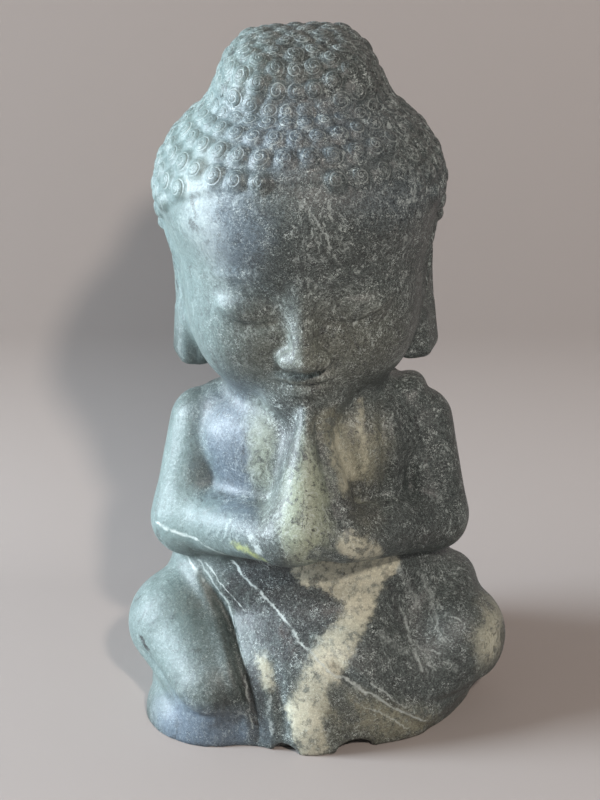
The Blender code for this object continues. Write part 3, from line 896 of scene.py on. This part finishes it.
def serpentine(colours, sizes):
    """Waxed serpentine: patches, bands and veins on wandering places, crystal grain, and carved spirals; a
    few patches and veins are painted sheen and highlight.
    """
    material = bpy.data.materials.new("waxed_serpentine")
    material.use_nodes = True
    w = Wiring(material.node_tree)
    shader = w.tree.nodes["Principled BSDF"]
    colour = {name: (*getattr(colours, name), 1) for name in colours.__annotations__}

    coordinates = w.node("ShaderNodeTexCoord").outputs["Object"]
    place = w.scaled(coordinates, UNITS_TALL / sizes.height)
    warp = warp_group()
    broad = wandered(w, warp, place, (14.0, 0.045))
    wandering = wandered(w, warp, broad, (5.0, 0.22), (1.6, 0.9))
    across = w.node("ShaderNodeSeparateXYZ", {0: broad}).outputs["X"]
    drawn_out = w.vector("MULTIPLY", wandering, (1, 1, 0.35))
    wisps = w.noise(drawn_out, 0.22, detail=5.0, roughness=0.65, distortion=0.4)[0]
    specks = w.group(speck_group(), place=place, scale=1.9)
    curl = w.node("ShaderNodeAttribute", attribute_name="curl").outputs["Vector"]
    spiral = w.group(spiral_group(), curl=curl, turns=4.0)["Line"]

    look = stone_body_and_sheen(w, colour, wandering, wisps)
    look = streaked(w, look, colour, wandering, across)
    look = banded(w, look, colour, warp, place)
    look = grained(w, look, colour, specks, across)
    faint = w.maths("MULTIPLY", w.ramp(wisps, 0.35, 0.65), SPIRAL_LINES)
    look = w.tint(look, spiral, faint, colour["white"])
    look = w.node("ShaderNodeGamma", {"Color": look, "Gamma": CONTRAST}).outputs[0]
    w.tree.links.new(w.scaled(look, BRIGHTNESS), shader.inputs["Base Color"])

    dull = w.ramp(w.noise(place, 0.3, detail=3.0)[0], 0.3, 0.7)
    roughness = w.between(dull, *ROUGHNESS)
    w.tree.links.new(w.maths("MULTIPLY_ADD", specks["Pale"], 0.10, roughness), shader.inputs["Roughness"])

    height = w.maths("MULTIPLY", specks["Height"], GRAIN_HEIGHT)
    height = w.maths("MULTIPLY_ADD", spiral, -SPIRAL_DEPTH, height)
    height = w.maths("MULTIPLY_ADD", w.noise(place, 0.5, detail=4.0)[0], WAVE_HEIGHT, height)
    unit = sizes.height / UNITS_TALL
    bump = w.node("ShaderNodeBump", {"Strength": 0.9, "Distance": unit, "Height": height})
    w.tree.links.new(bump.outputs[0], shader.inputs["Normal"])

    for name, value in WAXED_STONE.items():
        shader.inputs[name].default_value = value
    return material


def measure_property(name, description, default, unit):
    values = {"name": name, "description": description, "default": default}
    return FloatProperty(**values, min=0, unit=unit, precision=5)


def length_property(name, description, default):
    return measure_property(name, description, default, "LENGTH")


def power_property(name, description, default):
    return measure_property(name, description, default, "POWER")


def colour_property(name, description, default):
    return FloatVectorProperty(
        name=name, description=description, default=default, subtype="COLOR", min=0, max=1, size=3
    )


class CarvingSizes(bpy.types.PropertyGroup):
    height: length_property("Height", "Height of the carving, as its solid was made", 0.200)
    grain: length_property("Grain", "Edge of the mesh's faces", 0.00095)
    curl_width: length_property("Curl Width", "Distance from one snail curl to the next", 0.0054)
    curl_height: length_property("Curl Height", "How far a curl stands out of the hair", 0.0013)
    hair_thickness: length_property("Hair Thickness", "How far the hair stands out of the brow", 0.0006)


class StoneColours(bpy.types.PropertyGroup):
    deep_green: colour_property("Deep Green", "The dark body of the stone", (0.036, 0.050, 0.046))
    grey_green: colour_property("Grey Green", "The middle tone of the stone", (0.110, 0.135, 0.128))
    mint: colour_property("Mint", "The pale, clear green", (0.176, 0.234, 0.226))
    pale_green: colour_property("Pale Green", "The yellowish pale green", (0.335, 0.365, 0.275))
    # Blue grey also paints the sheen on the left brow
    blue_grey: colour_property("Blue Grey", "The bluish tone", (0.130, 0.170, 0.220))
    cream: colour_property("Cream", "The creamy bands", (0.570, 0.550, 0.435))
    beige: colour_property("Beige", "The warm mottled areas", (0.260, 0.250, 0.180))
    olive: colour_property("Olive", "The brownish green", (0.130, 0.132, 0.090))
    yellow_green: colour_property("Yellow Green", "The small yellowish patch", (0.420, 0.450, 0.180))
    russet: colour_property("Russet", "The reddish tinge", (0.100, 0.060, 0.050))
    charcoal: colour_property("Charcoal", "The blackish patches", (0.018, 0.019, 0.020))
    # White also paints the sheen on the left temple and the highlight along the left leg's fold
    white: colour_property("White", "Veins and crystal specks", (0.480, 0.520, 0.500))


class StudioSettings(bpy.types.PropertyGroup):
    floor: colour_property("Floor", "The pale floor and wall", (0.365, 0.322, 0.300))
    left_power: power_property("Left Light", "Power of the cool light on the left", 79)
    right_power: power_property("Right Light", "Power of the warm light on the right", 4.1)
    back_power: power_property("Back Light", "Power of the light behind", 3)


class OBJECT_OT_carve_buddha(bpy.types.Operator):
    """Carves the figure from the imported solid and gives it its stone"""

    bl_idname = "object.carve_buddha"
    bl_label = "Carve Buddha"

    def execute(self, context):
        sizes = context.scene.carving_sizes
        carving = carve(sizes)
        carving.data.materials.clear()
        carving.data.materials.append(serpentine(context.scene.stone_colours, sizes))
        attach(carving, "root")
        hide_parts("buddha_carving")
        return {"FINISHED"}


# The camera, in metres and in pixels of the picture
LOOK_AT = Vector((0, 0, 0.1))
CAMERA_DISTANCE = 0.45
CAMERA_ELEVATION = math.radians(20)
PICTURE_SIZE = (600, 800)
PIXELS_PER_METRE = 3427
LOOK_AT_PIXEL = (312, 375.6)

# The floor and wall, in metres
SWEEP_START = 0.06
SWEEP_RADIUS = 0.07
SWEEP_HALF_WIDTH = 1.2
WALL_HEIGHT = 1.2
FLOOR_REACH = 1.5
FLOOR_BEHIND_HEIGHT = -0.0005

ROOM_COLOUR = (0.88, 0.94, 1.0, 1)
ROOM_STRENGTH = 0.19


def sweep_mesh():
    """The floor and wall: a flat floor, a quarter circle and a wall, drawn along X.

    A second floor, a hair lower, goes on behind the wall for the views from the back."""
    turn = np.linspace(0, math.pi / 2, 25)
    back = SWEEP_START + SWEEP_RADIUS * np.sin(turn)
    up = SWEEP_RADIUS * (1 - np.cos(turn))
    back = np.concatenate([[-FLOOR_REACH], back, [back[-1]]])
    up = np.concatenate([[0], up, [WALL_HEIGHT]])
    sides = (-SWEEP_HALF_WIDTH, SWEEP_HALF_WIDTH)
    rows = np.stack([np.stack([np.full_like(back, x), back, up], 1) for x in sides])
    count = len(back)
    faces = [(n, count + n, count + n + 1, n + 1) for n in range(count - 1)]
    faces.append(tuple(range(2 * count, 2 * count + 4)))
    left, right = sides
    corners = [(left, SWEEP_START), (right, SWEEP_START), (right, FLOOR_REACH), (left, FLOOR_REACH)]
    behind = [(*corner, FLOOR_BEHIND_HEIGHT) for corner in corners]
    mesh = bpy.data.meshes.new("floor_and_wall")
    mesh.from_pydata(rows.reshape(-1, 3).tolist() + behind, [], faces)
    mesh.shade_smooth()
    return mesh


def plain_paper(colour):
    """Matt paper that is clear from behind, so that the wall never hides the figure."""
    material = bpy.data.materials.new("pale_paper")
    material.use_nodes = True
    w = Wiring(material.node_tree)
    shader = w.tree.nodes["Principled BSDF"]
    place = w.node("ShaderNodeTexCoord").outputs["Object"]
    shade = w.noise(place, 3.0, detail=2.0)[0]
    pale = (*colour, 1)
    dim = (*[0.93 * c for c in colour], 1)
    w.tree.links.new(w.mix(shade, dim, pale), shader.inputs["Base Color"])
    shader.inputs["Roughness"].default_value = 0.8
    behind = w.node("ShaderNodeNewGeometry").outputs["Backfacing"]
    clear = w.node("ShaderNodeBsdfTransparent").outputs[0]
    both_sides = w.node("ShaderNodeMixShader", {0: behind, 1: shader.outputs[0], 2: clear}).outputs[0]
    w.tree.links.new(both_sides, w.tree.nodes["Material Output"].inputs["Surface"])
    return material


def area_light(name, at, size, power, colour):
    """A round lamp turned to the figure, which the camera doesn't see."""
    light = bpy.data.lights.new(name, "AREA")
    light.shape = "DISK"
    light.size = size
    light.energy = power
    light.color = colour
    obj = bpy.data.objects.new(name, light)
    obj.location = at
    obj.visible_camera = False
    obj.rotation_euler = (LOOK_AT - Vector(at)).to_track_quat("-Z", "Y").to_euler()
    bpy.context.scene.collection.objects.link(obj)
    return obj


class SCENE_OT_set_up_studio(bpy.types.Operator):
    """Sets up the pale floor, the lights and the camera"""

    bl_idname = "scene.set_up_studio"
    bl_label = "Set Up Studio"

    def execute(self, context):
        scene = context.scene
        settings = scene.studio_settings
        floor = bpy.data.objects.new("floor_and_wall", sweep_mesh())
        floor.data.materials.append(plain_paper(settings.floor))
        scene.collection.objects.link(floor)

        area_light("left_window", (-1.48, -0.04, 0.556), 0.76, settings.left_power, (0.78, 0.90, 1.0))
        area_light("right_lamp", (0.20, -0.62, 0.60), 0.07, settings.right_power, (1.0, 0.90, 0.82))
        area_light("back_fill", (0.25, 0.90, 0.55), 0.8, settings.back_power, (1.0, 0.96, 0.92))
        world = bpy.data.worlds.new("soft_room")
        world.use_nodes = True
        room = world.node_tree.nodes["Background"]
        room.inputs["Color"].default_value = ROOM_COLOUR
        room.inputs["Strength"].default_value = ROOM_STRENGTH
        scene.world = world

        camera = bpy.data.cameras.new("camera")
        wide, tall = PICTURE_SIZE
        camera.lens = camera.sensor_width * CAMERA_DISTANCE * PIXELS_PER_METRE / tall
        camera.shift_x = (wide / 2 - LOOK_AT_PIXEL[0]) / tall
        camera.shift_y = (LOOK_AT_PIXEL[1] - tall / 2) / tall
        camera.clip_start = 0.01
        viewer = bpy.data.objects.new("camera", camera)
        back = Vector((0, -math.cos(CAMERA_ELEVATION), math.sin(CAMERA_ELEVATION)))
        viewer.location = LOOK_AT + CAMERA_DISTANCE * back
        viewer.rotation_euler = (math.pi / 2 - CAMERA_ELEVATION, 0, 0)
        scene.collection.objects.link(viewer)
        scene.camera = viewer
        scene.view_settings.view_transform = "Standard"
        return {"FINISHED"}


class VIEW3D_PT_buddha_carving(bpy.types.Panel):
    bl_label = "Buddha Carving"
    bl_space_type = "VIEW_3D"
    bl_region_type = "UI"
    bl_category = "Carving"

    def draw(self, context):
        scene = context.scene
        for title, settings, operator in (
            ("Carving", scene.carving_sizes, None),
            ("Stone", scene.stone_colours, OBJECT_OT_carve_buddha),
            ("Studio", scene.studio_settings, SCENE_OT_set_up_studio),
        ):
            box = self.layout.box()
            box.label(text=title)
            for name in settings.__annotations__:
                box.prop(settings, name)
            if operator:
                box.operator(operator.bl_idname)


CLASSES = (
    CarvingSizes,
    StoneColours,
    StudioSettings,
    OBJECT_OT_carve_buddha,
    SCENE_OT_set_up_studio,
    VIEW3D_PT_buddha_carving,
)


def register():
    for cls in CLASSES:
        bpy.utils.register_class(cls)
    bpy.types.Scene.carving_sizes = PointerProperty(type=CarvingSizes)
    bpy.types.Scene.stone_colours = PointerProperty(type=StoneColours)
    bpy.types.Scene.studio_settings = PointerProperty(type=StudioSettings)


def unregister():
    del bpy.types.Scene.studio_settings
    del bpy.types.Scene.stone_colours
    del bpy.types.Scene.carving_sizes
    for cls in reversed(CLASSES):
        bpy.utils.unregister_class(cls)


def main():
    register()
    bpy.ops.object.carve_buddha()
    bpy.ops.scene.set_up_studio()


if __name__ == "__main__":
    main()
